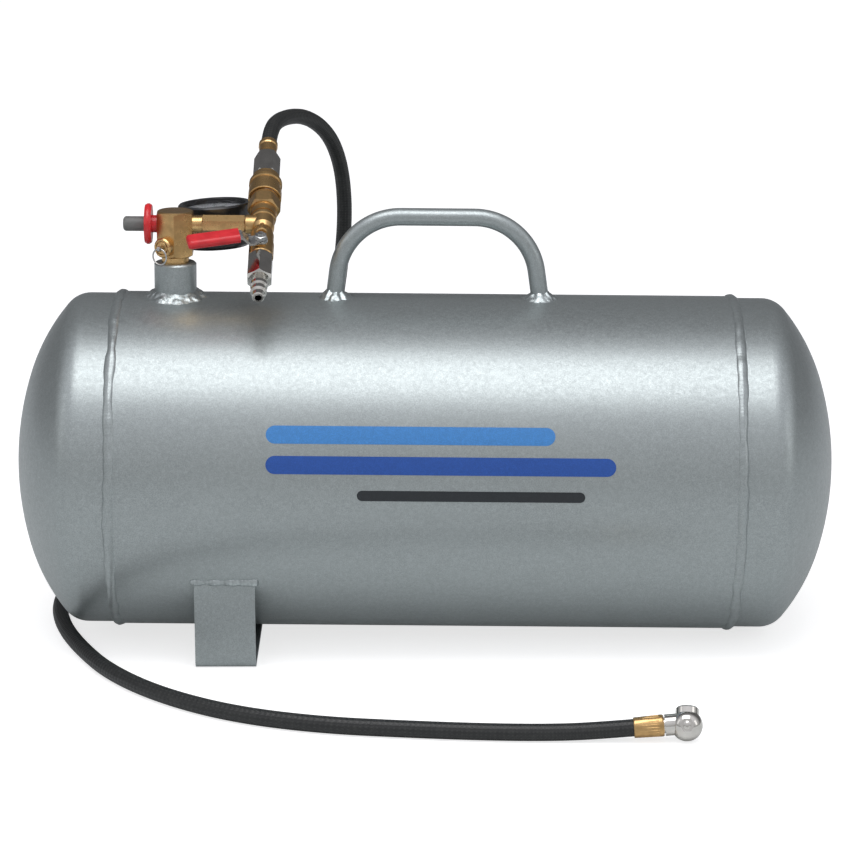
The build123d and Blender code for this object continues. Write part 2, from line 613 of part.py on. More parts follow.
with BuildPart() as outlet_plug:
    quick_plug(OUTLET_PLUG, 30)
keep("outlet_plug", outlet_plug)

with BuildPart() as hose_plug:
    quick_plug(HOSE_PLUG, 0)
keep("hose_plug", hose_plug)

# ---------------------------------------------------------------- quick coupler

FLANGE = (15.0, 25.6)
SLEEVE = (28.8, 52.4)
SLEEVE_SHOULDER = 39.9
SPRING_START = 28.3
BARREL_R = 8.0
BARREL_END = 53.2
SOCKET_R = 5.9
SOCKET_FLOOR = 29.4
POPPET_BORE_START = 15.4
BALL_AT = PLUG_AT - PLUG_HEX - 9.5
LOCK_BALL_R = 1.2
LOCK_BALL_OUT = 6.8

with BuildPart() as coupler_body:
    hex_bar(STACK, 20.0, *FLANGE, turn=0, bevel=1.4)
    bar(STACK, 11.2, FLANGE[0], FLANGE[1], mode=Mode.INTERSECT)
    bar(STACK, COUPLER_THREAD, THREAD_START, TEE_BACK)
    bar(STACK, 8.8, TEE_BACK, FLANGE[0])
    bar(STACK, 9.8, FLANGE[1], SPRING_START)
    bar(STACK, BARREL_R, SPRING_START, BARREL_END)
    bar(STACK, 3.2, THREAD_START - 1, SOCKET_FLOOR + 1, mode=Mode.SUBTRACT)
    bar(STACK, 4.6, POPPET_BORE_START, SOCKET_FLOOR + 1, mode=Mode.SUBTRACT)
    bar(STACK, SOCKET_R, SOCKET_FLOOR, BARREL_END + 1, mode=Mode.SUBTRACT)
    for step in range(4):
        angle = pi / 4 + pi / 2 * step
        out = STACK.x_dir * cos(angle) + STACK.y_dir * sin(angle)
        hole = Plane(origin=shifted(STACK, z=BALL_AT).origin, x_dir=STACK.z_dir, z_dir=out)
        bar(hole, LOCK_BALL_R + 0.03, 0, 12, mode=Mode.SUBTRACT)
keep("coupler_body", coupler_body)

with BuildPart() as coupler_sleeve:
    lathe(STACK, (0, SLEEVE[0]), (11.1, SLEEVE[0]), (11.4, SLEEVE[0] + 0.4), (11.4, 36.4), (10.6, 37.0),
          (10.6, 43.6), (11.4, 44.2), (11.4, 47.0), (9.7, 50.6), (9.7, SLEEVE[1]), (0, SLEEVE[1]))
    bar(STACK, BARREL_R + RUN, SLEEVE[0] - 1, SLEEVE[1] + 1, mode=Mode.SUBTRACT)
    bar(STACK, 10.0, SLEEVE[0] - 1, SLEEVE_SHOULDER, mode=Mode.SUBTRACT)
    ring(STACK, 7, 8.9, 48.4, SLEEVE[1] + 1, mode=Mode.SUBTRACT)
keep("coupler_sleeve", coupler_sleeve)

with BuildPart() as sleeve_spring:
    coil(STACK, 9.0, 1.1, SPRING_START, SLEEVE_SHOULDER, 4)
keep("sleeve_spring", sleeve_spring)

with BuildPart() as lock_balls:
    for step in range(4):
        angle = pi / 4 + pi / 2 * step
        ball = shifted(STACK, x=LOCK_BALL_OUT * cos(angle), y=LOCK_BALL_OUT * sin(angle), z=BALL_AT)
        with Locations(ball):
            Sphere(LOCK_BALL_R)
keep("lock_balls", lock_balls)

with BuildPart() as retaining_ring:
    ring(STACK, BARREL_R + 0.01, 8.7, SLEEVE[1] + 0.1, BARREL_END)
keep("retaining_ring", retaining_ring)

with BuildPart() as coupler_seal:
    ring(STACK, 4.25, SOCKET_R - 0.02, SOCKET_FLOOR + 0.05, SOCKET_FLOOR + 3.0)
keep("coupler_seal", coupler_seal)

POPPET_AT = SOCKET_FLOOR - 1.0

with BuildPart() as coupler_poppet:
    lathe(STACK, (0, POPPET_AT), (4.0, POPPET_AT), (4.0, POPPET_AT + 3.0), (2.0, POPPET_AT + 5.6),
          (0, POPPET_AT + 5.6))
    bar(STACK, 1.5, POPPET_AT - 9, POPPET_AT)
keep("coupler_poppet", coupler_poppet)

with BuildPart() as poppet_spring:
    coil(STACK, 3.4, 0.8, POPPET_BORE_START + 0.05, POPPET_AT - 0.05, 5)
keep("poppet_spring", poppet_spring)

# ---------------------------------------------------------------- hose fittings at the coupler

BARB_END = HOSE_START + 12.0
FERRULE_END = HOSE_START + 12.2

with BuildPart() as hose_insert:
    bar(STACK, SPIGOT_R, PLUG_AT - 10, PLUG_AT)
    bar(STACK, 6.0, PLUG_AT, HOSE_START)
    lathe(STACK, (0, HOSE_START), (BARB_R, HOSE_START), (BARB_R, BARB_END - 2), (2.6, BARB_END), (0, BARB_END))
    bar(STACK, 2.0, PLUG_AT - 11, BARB_END + 1, mode=Mode.SUBTRACT)
keep("hose_insert", hose_insert)

with BuildPart() as hose_ferrule:
    lathe(STACK, (0, HOSE_START), (6.1, HOSE_START), (6.1, FERRULE_END - 5.2), (6.6, FERRULE_END - 4.2),
          (6.6, FERRULE_END - 0.8), (6.2, FERRULE_END), (0, FERRULE_END))
    bar(STACK, HOSE_D / 2 + 0.01, HOSE_START - 1, FERRULE_END + 1, mode=Mode.SUBTRACT)
keep("hose_ferrule", hose_ferrule)

# ---------------------------------------------------------------- hose, drawn in the floor frame

# Out of the coupler, over and down behind the tank, round the left head along the floor, and across the front
hose_exit = (STANCE * Location(shifted(STACK, z=HOSE_START).origin)).position
hose_straight = (STANCE * Location(shifted(STACK, z=HOSE_START + HOSE_STRAIGHT).origin)).position
HOSE_ROUTE = [
    tuple(hose_exit), tuple(hose_straight), (-102, 124.5, 335.2), (-85.5, 151, 332.8), (-69.6, 171.6, 317.2),
    (-60.8, 185, 292.2), (-58, 189.5, 260), (-60, 191, 226), (-66, 190.5, 184), (-72, 188.5, 140), (-82, 188, 96),
    (-100, 189, 58), (-126, 188, 29), (-156, 182, 9), (-190, 166, 5.5), (-220, 142, 5.5), (-243, 109, 5.5),
    (-256, 68, 5.5), (-258, 24, 5.5), (-250.5, -20, 5.5), (-235, -66, 5.5), (-210, -120, 5.5),
    (-172, -167, 5.5), (-124, -203, 5.5), (-68, -224, 5.5), (-8, -233, 5.5), (44, -238.5, 5.5),
    (86, -240.5, 5.9), (116.5, -240.2, 7.6), (146, -239.7, 9.9),
]


def corner_radii(route):
    """The largest tangent arc for each corner: 0.45 of the shorter run, over the tangent of half the turn."""
    points = [Vector(*point) for point in route]
    radii = []
    for before, corner, after in zip(points, points[1:], points[2:]):
        turn = radians((corner - before).get_angle(after - corner))
        shorter = min((corner - before).length, (after - corner).length)
        radii.append(0.45 * shorter / tan(turn / 2))
    return radii


radii = corner_radii(HOSE_ROUTE)
with BuildPart() as hose:
    with BuildLine() as hose_path:
        FilletPolyline(*HOSE_ROUTE, radius=radii)
    with BuildSketch(Plane(origin=hose_path.line @ 0, z_dir=hose_path.line % 0)):
        Circle(HOSE_D / 2)
        Circle(HOSE_BORE / 2, mode=Mode.SUBTRACT)
    sweep(path=hose_path.line)
keep("hose", hose, Location())
section = pi / 4 * (HOSE_D**2 - HOSE_BORE**2)
print("hose starts at", hose_exit, hose_straight)
print("hose radii", [round(radius) for radius in radii])
length = sum(edge.length for edge in hose_path.line.edges())
print(f"hose length {length:.0f}, volume over section {hose.part.volume / section:.0f}")

# ---------------------------------------------------------------- tyre chuck on the hose's end

hose_end = Vector(*HOSE_ROUTE[-1])
chuck_dir = (hose_end - Vector(*HOSE_ROUTE[-2])).normalized()
CHUCK = Plane(origin=hose_end, x_dir=Vector(0, 0, 1).cross(chuck_dir), z_dir=chuck_dir)
CHUCK_BALL_R = 10.0
CHUCK_BALL_AT = 18.3
CHUCK_BALL_DROP = 1.3
NECK_R = 6.8
NECK_START = 4.4
MOUTH_R = 7.4
MOUTH_END = 11.4
STEM_BORE = 3.95
SPRING_BORE = 3.2
SPRING_SEAT = -5.5
mouth_dir = Vector(0.05, 0.6, 0.8).normalized()
chuck_ball_centre = shifted(CHUCK, z=CHUCK_BALL_AT).origin - mouth_dir * CHUCK_BALL_DROP
MOUTH = Plane(origin=chuck_ball_centre, x_dir=mouth_dir.cross(Vector(0, 0, 1)), z_dir=mouth_dir)
face_dir = Vector(-0.06, -0.93, 0.36).normalized()
FACE = Plane(origin=chuck_ball_centre, x_dir=Vector(0, 0, 1).cross(face_dir), z_dir=face_dir)

with BuildPart() as chuck_ferrule:
    lathe(CHUCK, (0, -15.3), (6.2, -15.3), (6.5, -14.8), (7.0, 2.6), (6.6, 3.6), (0, 3.6))
    for step in range(24):
        angle = 2 * pi * step / 24
        bar(shifted(CHUCK, x=7.1 * cos(angle), y=7.1 * sin(angle)), 0.5, -12.5, 0.5, mode=Mode.SUBTRACT)
    bar(CHUCK, HOSE_D / 2 + 0.01, -17, 0.02, mode=Mode.SUBTRACT)
    bar(CHUCK, 4.9, -1, 5, mode=Mode.SUBTRACT)
keep("chuck_ferrule", chuck_ferrule, Location())

with BuildPart() as chuck_body:
    lathe(CHUCK, (0, -12.0), (2.6, -12.0), (BARB_R, -10.0), (BARB_R, 0.05), (4.88, 0.05), (4.88, NECK_START),
          (NECK_R, NECK_START), (NECK_R, CHUCK_BALL_AT), (0, CHUCK_BALL_AT))
    with Locations(chuck_ball_centre):
        Sphere(CHUCK_BALL_R)
    lathe(MOUTH, (0, 0), (MOUTH_R, 0), (MOUTH_R, MOUTH_END - 1.0), (MOUTH_R - 1.0, MOUTH_END), (0, MOUTH_END))
    with BuildSketch(shifted(FACE, z=CHUCK_BALL_R - 1.9)) as hex_recess:
        RegularPolygon(4.6, 6)
    extrude(hex_recess.sketch, amount=4, mode=Mode.SUBTRACT)
    lathe(FACE, (0, CHUCK_BALL_R - 2.4), (2.8, CHUCK_BALL_R - 2.4), (2.6, CHUCK_BALL_R - 1.5),
          (1.4, CHUCK_BALL_R - 1.0), (0, CHUCK_BALL_R - 0.8))
    bar(CHUCK, 2.0, -13.0, CHUCK_BALL_AT, mode=Mode.SUBTRACT)
    bar(MOUTH, SPRING_BORE, SPRING_SEAT, MOUTH_END + 1, mode=Mode.SUBTRACT)
    bar(MOUTH, STEM_BORE, 2.5, MOUTH_END + 1, mode=Mode.SUBTRACT)
keep("chuck_body", chuck_body, Location())

with BuildPart() as chuck_seal:
    ring(MOUTH, 1.7, STEM_BORE - 0.02, 2.55, 5.5)
keep("chuck_seal", chuck_seal, Location())

with BuildPart() as chuck_pin:
    bar(MOUTH, 1.3, -0.6, 8.5)
    bar(MOUTH, SPRING_BORE - RUN, -1.0, 0.0)
keep("chuck_pin", chuck_pin, Location())

with BuildPart() as chuck_spring:
    coil(MOUTH, 2.3, 0.6, SPRING_SEAT + 0.03, -1.03, 3)
keep("chuck_spring", chuck_spring, Location())

# ---------------------------------------------------------------- files

for name, piece in pieces.items():
    export_step(piece, f"parts/{name}.step")
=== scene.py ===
"""Looks of the portable air tank: finishes, weld beads, plain decal bars, the gauge's print and the hose.

Metres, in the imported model's frame: origin on the floor under the middle of the tank, +X along it, +Z up.
What sits on the tank is worked out in the tank's own frame, with its origin in the middle of the tank's axis,
and carried to the floor frame by to_floor.
"""

import json
from math import cos, pi, radians, sin, sqrt

import bmesh
import bpy
from mathutils import Matrix, Vector, noise


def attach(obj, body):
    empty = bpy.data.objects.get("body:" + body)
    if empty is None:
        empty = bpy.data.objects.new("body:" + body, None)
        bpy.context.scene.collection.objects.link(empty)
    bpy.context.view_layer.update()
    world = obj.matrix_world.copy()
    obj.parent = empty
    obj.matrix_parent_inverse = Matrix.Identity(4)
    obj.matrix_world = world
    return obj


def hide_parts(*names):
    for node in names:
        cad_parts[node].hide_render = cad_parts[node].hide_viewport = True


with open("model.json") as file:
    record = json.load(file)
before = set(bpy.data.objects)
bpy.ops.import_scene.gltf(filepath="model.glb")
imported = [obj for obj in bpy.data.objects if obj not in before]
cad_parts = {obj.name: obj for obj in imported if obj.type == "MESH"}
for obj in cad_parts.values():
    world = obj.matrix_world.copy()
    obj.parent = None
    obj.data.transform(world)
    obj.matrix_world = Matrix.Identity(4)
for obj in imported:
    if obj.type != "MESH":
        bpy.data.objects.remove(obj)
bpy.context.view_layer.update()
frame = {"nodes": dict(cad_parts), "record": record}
nodes = frame["nodes"]

# ---------------------------------------------------------------- sizes shared with the CAD model

MM = 0.001
TANK_R = 114.3 * MM
HEAD_R = 113.1 * MM
SEAM_X = 209.0 * MM
BEAD_WIDTH = 7.0 * MM
BEAD_HEIGHT = 1.6 * MM
LEAN = radians(0.69)
TANK_Z = SEAM_X * sin(LEAN) + (TANK_R + BEAD_HEIGHT) * cos(LEAN)
BUNG_X = -170.7 * MM
BUNG_R = 14.3 * MM
HANDLE_FEET_X = (-62.7 * MM, 77.2 * MM)
HANDLE_R = 6.0 * MM
FOOT_X = (-154.3 * MM, -113.7 * MM)
FOOT_HALF_DEPTH = 96.9 * MM
FOOT_TOP = 60.5 * MM
HOSE_D = 11.0 * MM

to_floor = Matrix.Translation((0, 0, TANK_Z)) @ Matrix.Rotation(LEAN, 4, "Y")

# ---------------------------------------------------------------- camera

CAMERA_AT = Vector((0.0, -2.26498, 0.73924))
CAMERA_AIM = Vector((0.0, 0.0, 0.14285))
CAMERA_ROLL = radians(-0.165)
LENS = 144.37
SENSOR_WIDTH = 36.0

camera_data = bpy.data.cameras.new("camera")
camera_data.lens = LENS
camera_data.sensor_width = SENSOR_WIDTH
camera = bpy.data.objects.new("camera", camera_data)
camera.location = CAMERA_AT
look = (CAMERA_AIM - CAMERA_AT).to_track_quat("-Z", "Y").to_matrix().to_4x4()
camera.rotation_euler = (look @ Matrix.Rotation(CAMERA_ROLL, 4, "Z")).to_euler()
bpy.context.scene.collection.objects.link(camera)
bpy.context.scene.camera = camera
bpy.context.scene.view_settings.view_transform = "Standard"

# ---------------------------------------------------------------- node helpers for materials

# A Mix node has several sockets of the same name, so its colour sockets are reached by number
MIX_FACTOR, MIX_FIRST, MIX_SECOND, MIX_RESULT = 0, 6, 7, 2


class Finish:
    """A material under construction: its node tree, its shader and its object coordinates."""

    def __init__(self, name, colour, roughness, metallic=0.0):
        self.material = bpy.data.materials.new(name)
        self.material.use_nodes = True
        self.tree = self.material.node_tree
        self.shader = self.tree.nodes["Principled BSDF"]
        self.shader.inputs["Base Color"].default_value = (*colour, 1.0)
        self.shader.inputs["Roughness"].default_value = roughness
        self.shader.inputs["Metallic"].default_value = metallic
        self.place = self.node("ShaderNodeTexCoord").outputs["Object"]
        self.bump_above = None

    def node(self, kind, **inputs):
        """A node with inputs set or linked; an input is given by its name, or by its number as in n0."""
        made = self.tree.nodes.new(kind)
        for socket, value in inputs.items():
            target = made.inputs[int(socket[1:]) if socket[0] == "n" and socket[1:].isdigit() else socket]
            if isinstance(value, bpy.types.NodeSocket):
                self.tree.links.new(value, target)
            else:
                target.default_value = value
        return made

    def noise(self, scale, detail=2.0, roughness=0.5):
        """A noise pattern between 0 and 1, with features about 1/scale metres across."""
        made = self.node("ShaderNodeTexNoise", Scale=scale, Detail=detail, Roughness=roughness)
        self.tree.links.new(self.place, made.inputs["Vector"])
        return made.outputs["Fac"]

    def ramp(self, factor, low, high, low_value, high_value):
        """Map a factor from low..high to low_value..high_value, without going outside them."""
        made = self.node("ShaderNodeMapRange", Value=factor)
        made.inputs["From Min"].default_value = low
        made.inputs["From Max"].default_value = high
        made.inputs["To Min"].default_value = low_value
        made.inputs["To Max"].default_value = high_value
        return made.outputs["Result"]

    def math(self, operation, first, second=0.0):
        made = self.node("ShaderNodeMath", n0=first, n1=second)
        made.operation = operation
        return made.outputs["Value"]

    def blend(self, factor, first, second):
        """Mix two colours by a factor; each is an output or three numbers."""
        made = self.node("ShaderNodeMix")
        made.data_type = "RGBA"
        for index, value in ((MIX_FACTOR, factor), (MIX_FIRST, first), (MIX_SECOND, second)):
            if isinstance(value, bpy.types.NodeSocket):
                self.tree.links.new(value, made.inputs[index])
            else:
                made.inputs[index].default_value = (*value, 1.0)
        return made.outputs[MIX_RESULT]

    def colour(self, output):
        self.tree.links.new(output, self.shader.inputs["Base Color"])

    def roughness(self, output):
        self.tree.links.new(output, self.shader.inputs["Roughness"])

    def bump(self, height, strength, distance):
        """Add a layer of bump over the ones made before it."""
        made = self.node("ShaderNodeBump", Height=height, Strength=strength, Distance=distance)
        if self.bump_above:
            self.tree.links.new(self.bump_above, made.inputs["Normal"])
        self.bump_above = made.outputs["Normal"]
        self.tree.links.new(self.bump_above, self.shader.inputs["Normal"])


def shade(colour, factor):
    """A colour made lighter or darker by a factor."""
    return tuple(min(1.0, channel * factor) for channel in colour)


# ---------------------------------------------------------------- finishes

PAINT = (0.365, 0.400, 0.402)
BRASS = (0.64, 0.415, 0.185)
BRIGHT_METAL = (0.70, 0.68, 0.64)
RUBBER_DUST = (0.030, 0.031, 0.029)
RUBBER_CLEAN = (0.012, 0.013, 0.013)
# Lighter colour along the braid's lines: a painted highlight
RUBBER_BRAID_HIGHLIGHT = (0.045, 0.047, 0.045)

# How deep the bumps are taken to be, in metres
GRAIN_DEPTH = 0.0001
SKIN_DEPTH = 0.0002
BRAID_DEPTH = 0.0003
PEBBLE_DEPTH = 0.0004
WELD_DEPTH = 0.0006

HOSE_LENGTH = 1.205
BRAID_PITCH = 0.0052
BRAID_STRANDS = 8


def tank_paint(name="tank_paint", colour=PAINT, roughness=0.36):
    """Silver-grey metallic enamel: fine flakes, a slightly pebbled surface and broad uneven tone."""
    finish = Finish(name, colour, roughness, metallic=0.72)
    flakes = finish.noise(1500, detail=1.0)
    clouds = finish.noise(14, detail=4.0, roughness=0.6)
    tone = finish.blend(finish.ramp(flakes, 0.36, 0.64, 0.0, 1.0), shade(colour, 0.86), shade(colour, 1.16))
    worn = finish.blend(finish.ramp(clouds, 0.30, 0.70, 0.0, 0.35), tone, shade(colour, 1.10))
    mottle = finish.noise(330, detail=3.0, roughness=0.7)
    finish.colour(finish.blend(finish.ramp(mottle, 0.40, 0.62, 0.0, 0.40), worn, shade(colour, 0.80)))
    finish.roughness(finish.ramp(finish.noise(420, detail=3.0), 0.3, 0.7, roughness - 0.05, roughness + 0.07))
    finish.bump(finish.noise(520, detail=2.0), 0.10, PEBBLE_DEPTH)
    finish.bump(flakes, 0.06, GRAIN_DEPTH)
    return finish.material


def weld_metal():
    """The same enamel over a rough weld, glossier and bumpier than on the plain tank; its colour is painted
    lighter, with lighter patches, as a painted highlight on the weld's facets.
    """
    # Lighter than the enamel and lighter still in patches: painted highlight for light catching the weld's
    # facets
    finish = Finish("weld_metal", shade(PAINT, 1.15), 0.33, metallic=0.80)
    painted_glint_noise = finish.noise(260, detail=3.0)
    painted_glint_mask = finish.ramp(painted_glint_noise, 0.35, 0.65, 0.0, 1.0)
    finish.colour(finish.blend(painted_glint_mask, shade(PAINT, 0.95), shade(PAINT, 1.30)))
    finish.bump(finish.noise(420, detail=3.0), 0.35, WELD_DEPTH)
    return finish.material


def brass():
    """Brass with a faint grain and patches of light tarnish, which are darker and less glossy."""
    finish = Finish("brass", BRASS, 0.27, metallic=1.0)
    tarnish = finish.noise(70, detail=4.0, roughness=0.65)
    grain = finish.noise(900, detail=2.0)
    worn = finish.blend(finish.ramp(tarnish, 0.38, 0.66, 0.0, 1.0), shade(BRASS, 1.12), shade(BRASS, 0.74))
    finish.colour(worn)
    finish.roughness(finish.ramp(tarnish, 0.3, 0.7, 0.22, 0.38))
    finish.bump(grain, 0.06, GRAIN_DEPTH)
    return finish.material


def bright_metal(name, colour, roughness, grain_strength):
    """Plated or polished metal with a fine grain and a trace of smudging."""
    finish = Finish(name, colour, roughness, metallic=1.0)
    smudges = finish.noise(120, detail=3.0)
    finish.colour(finish.blend(finish.ramp(smudges, 0.35, 0.65, 0.0, 1.0), shade(colour, 0.88), colour))
    finish.roughness(finish.ramp(smudges, 0.3, 0.7, roughness * 0.7, roughness * 1.5))
    finish.bump(finish.noise(1600, detail=1.0), grain_strength, GRAIN_DEPTH)
    return finish.material


def moulded(name, colour, roughness, pebble=0.08):
    """Moulded plastic or dipped vinyl with a faint pebbled skin."""
    finish = Finish(name, colour, roughness)
    tone = finish.noise(160, detail=3.0)
    uneven = finish.ramp(tone, 0.35, 0.65, 0.0, 1.0)
    finish.colour(finish.blend(uneven, shade(colour, 0.86), shade(colour, 1.08)))
    finish.roughness(finish.ramp(tone, 0.3, 0.7, roughness - 0.06, roughness + 0.06))
    finish.bump(finish.noise(1100, detail=2.0), pebble, SKIN_DEPTH)
    return finish.material


def lens_glass():
    """The gauge's clear lens."""
    finish = Finish("clear_lens", (0.97, 0.985, 1.0), 0.03)
    finish.shader.inputs["Transmission Weight"].default_value = 1.0
    finish.shader.inputs["IOR"].default_value = 1.45
    finish.bump(finish.noise(60, detail=1.0), 0.01, GRAIN_DEPTH)
    return finish.material


def hose_rubber():
    """Black rubber with the faint crossed lines of the braid under it, drawn as bumps and painted lighter as
    a painted highlight; U runs along the hose, V round it.
    """
    finish = Finish("hose_rubber", (0.014, 0.015, 0.015), 0.46)
    uv = finish.node("ShaderNodeTexCoord").outputs["UV"]
    split = finish.node("ShaderNodeSeparateXYZ", Vector=uv)
    along = finish.math("MULTIPLY", split.outputs["X"], HOSE_LENGTH / BRAID_PITCH * 2 * pi)
    around = finish.math("MULTIPLY", split.outputs["Y"], BRAID_STRANDS * 2 * pi)
    right_hand = finish.math("SINE", finish.math("ADD", along, around))
    left_hand = finish.math("SINE", finish.math("SUBTRACT", along, around))
    crossed = finish.math("MULTIPLY", right_hand, left_hand)
    dust = finish.noise(240, detail=4.0, roughness=0.6)
    dust_cover = finish.ramp(dust, 0.45, 0.75, 0.0, 0.6)
    dusty = finish.blend(dust_cover, RUBBER_CLEAN, RUBBER_DUST)
    # The braid's lines are painted lighter: a painted highlight along them
    finish.colour(finish.blend(finish.ramp(crossed, 0.2, 0.9, 0.0, 0.5), dusty, RUBBER_BRAID_HIGHLIGHT))
    finish.roughness(finish.ramp(crossed, -0.8, 0.8, 0.40, 0.56))
    finish.bump(crossed, 0.35, BRAID_DEPTH)
    finish.bump(finish.noise(900, detail=2.0), 0.08, SKIN_DEPTH)
    return finish.material


finishes = {
    "tank_paint": tank_paint(),
    "weld_metal": weld_metal(),
    "brass": brass(),
    "chrome": bright_metal("chrome", BRIGHT_METAL, 0.09, grain_strength=0.02),
    "steel": bright_metal("steel", (0.58, 0.58, 0.57), 0.24, grain_strength=0.05),
    "spring_steel": bright_metal("spring_steel", (0.42, 0.42, 0.43), 0.30, grain_strength=0.05),
    "red_plastic": moulded("red_plastic", (0.64, 0.022, 0.028), 0.28, pebble=0.04),
    "red_vinyl": moulded("red_vinyl", (0.62, 0.020, 0.028), 0.36, pebble=0.10),
    "grey_plastic": moulded("grey_plastic", (0.150, 0.152, 0.146), 0.50),
    "black_enamel": moulded("black_enamel", (0.012, 0.013, 0.014), 0.22, pebble=0.03),
    "dial_white": moulded("dial_white", (0.84, 0.85, 0.86), 0.50, pebble=0.02),
    "clear_lens": lens_glass(),
    "ptfe_white": moulded("ptfe_white", (0.80, 0.80, 0.78), 0.45),
    "seal_rubber": moulded("seal_rubber", (0.018, 0.018, 0.018), 0.55),
    "hose_rubber": hose_rubber(),
}

slot_of = {part["node"]: part["material_slot"] for part in frame["record"]["subparts"]}
for name, thing in nodes.items():
    thing.data.materials.clear()
    thing.data.materials.append(finishes[slot_of[name]])

# ---------------------------------------------------------------- hose

# How high the centreline lies where the hose rests on the floor
HOSE_REST = HOSE_D / 2
CURVE_ORDER = 3
STEPS_PER_POINT = 14
ROUNDNESS = 8

# Control points of the centreline: out of the coupler, down behind the tank, round its left head along the
# floor, and across the front to the chuck
HOSE_ROUTE = [
    (-0.10880, 0.07477, 0.31820), (-0.10866, 0.10024, 0.33007), (-0.102, 0.1245, 0.3352),
    (-0.0855, 0.151, 0.3328), (-0.0696, 0.1716, 0.3172), (-0.0608, 0.185, 0.2922),
    (-0.058, 0.1895, 0.260), (-0.060, 0.191, 0.226), (-0.066, 0.1905, 0.184),
    (-0.072, 0.1885, 0.140), (-0.082, 0.188, 0.096), (-0.100, 0.189, 0.058),
    (-0.126, 0.188, 0.029), (-0.156, 0.182, 0.009), (-0.190, 0.166, HOSE_REST),
    (-0.220, 0.142, HOSE_REST), (-0.243, 0.109, HOSE_REST), (-0.256, 0.068, HOSE_REST),
    (-0.258, 0.024, HOSE_REST), (-0.2505, -0.020, HOSE_REST), (-0.235, -0.066, HOSE_REST),
    (-0.210, -0.120, HOSE_REST), (-0.172, -0.167, HOSE_REST), (-0.124, -0.203, HOSE_REST),
    (-0.068, -0.224, HOSE_REST), (-0.008, -0.233, HOSE_REST), (0.044, -0.2385, HOSE_REST),
    (0.086, -0.2405, 0.0059), (0.1165, -0.2402, 0.0076), (0.146, -0.2397, 0.0099),
]

hose_data = bpy.data.curves.new("air_hose", "CURVE")
hose_data.dimensions = "3D"
hose_spline = hose_data.splines.new("NURBS")
hose_spline.points.add(len(HOSE_ROUTE) - 1)
for point, place in zip(hose_spline.points, HOSE_ROUTE):
    point.co = (*place, 1.0)
hose_spline.order_u = CURVE_ORDER
hose_spline.use_endpoint_u = True
hose_spline.resolution_u = STEPS_PER_POINT
hose_data.bevel_depth = HOSE_D / 2
hose_data.bevel_resolution = ROUNDNESS
hose_data.use_fill_caps = True
hose_data.materials.append(finishes["hose_rubber"])
hose = bpy.data.objects.new("air_hose", hose_data)
bpy.context.scene.collection.objects.link(hose)
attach(hose, "tank")
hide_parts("hose")

# ---------------------------------------------------------------- pieces made of a grid of points


def grid_piece(name, rows, material, closed_rows=False, closed_columns=False, transform=None):
    """A smooth mesh through rows of points; each closed direction joins its last line to its first."""
    mesh = bmesh.new()
    lines = [[mesh.verts.new(transform @ Vector(p) if transform else p) for p in row] for row in rows]
    row_count, column_count = len(lines), len(lines[0])
    for i in range(row_count if closed_rows else row_count - 1):
        for j in range(column_count if closed_columns else column_count - 1):
            below, above = lines[i], lines[(i + 1) % row_count]
            beside = (j + 1) % column_count
            mesh.faces.new((below[j], below[beside], above[beside], above[j]))
    bmesh.ops.recalc_face_normals(mesh, faces=mesh.faces)
    data = bpy.data.meshes.new(name)
    mesh.to_mesh(data)
    mesh.free()
    data.shade_smooth()
    data.materials.append(material)
    piece = bpy.data.objects.new(name, data)
    bpy.context.scene.collection.objects.link(piece)
    return piece


def wavering(along, seed):
    """A smooth random value between about -1 and 1 that wanders with the distance along a weld."""
    return noise.noise(Vector((along * 160, seed * 7.3, 0.5)))


# ---------------------------------------------------------------- weld beads

RIPPLE = 2.6 * MM
WELD_SINK = 0.3 * MM
WELD_OVERLAP = 0.4 * MM
FOOT_BEAD_R = 3.0 * MM
FOOT_BEAD_SIDES = 14
FOOT_BLOB_LENGTH = 9.0 * MM


def ripple(along):
    """Height of one weld ripple, from 0 to 1: a slow rise and a quick fall."""
    phase = (along / RIPPLE) % 1.0
    return sin(pi * phase ** 0.7)


def seam_bead(name, side, seed):
    """The bead round a head's seam, low and wavy; side is -1 for the left head and 1 for the right."""
    rows = []
    steps, columns = 900, 11
    for step in range(steps):
        turn = 2 * pi * step / steps
        along = turn * TANK_R
        round_trip = Vector((cos(turn), sin(turn), seed * 3.1)) * 2.2
        wander = noise.noise(round_trip)
        width = BEAD_WIDTH * (1.02 + 0.34 * noise.noise(round_trip * 4.7))
        centre = side * SEAM_X + 1.1 * MM * wander
        height = BEAD_HEIGHT * (0.70 + 0.40 * noise.noise(round_trip * 5.3) + 0.08 * ripple(along))
        row = []
        for across in range(columns):
            s = across / (columns - 1) * 2 - 1
            base = TANK_R if s * side < 0 else HEAD_R
            rise = sqrt(max(0.0, 1 - s * s))
            edge = TANK_R - 0.5 * MM - 1.0 * MM * max(0.0, s * side)
            radius = max(base - WELD_SINK, edge + (height + 0.5 * MM) * rise)
            row.append((centre + s * width / 2, radius * sin(turn), radius * cos(turn)))
        rows.append(row)
    piece = grid_piece(name, rows, finishes["tank_paint"], closed_rows=True, transform=to_floor)
    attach(piece, "tank")
    return piece


seam_beads = [seam_bead("left_seam_bead", side=-1, seed=1), seam_bead("right_seam_bead", side=1, seed=2)]
for bead in seam_beads:
    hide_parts("seam_welds")


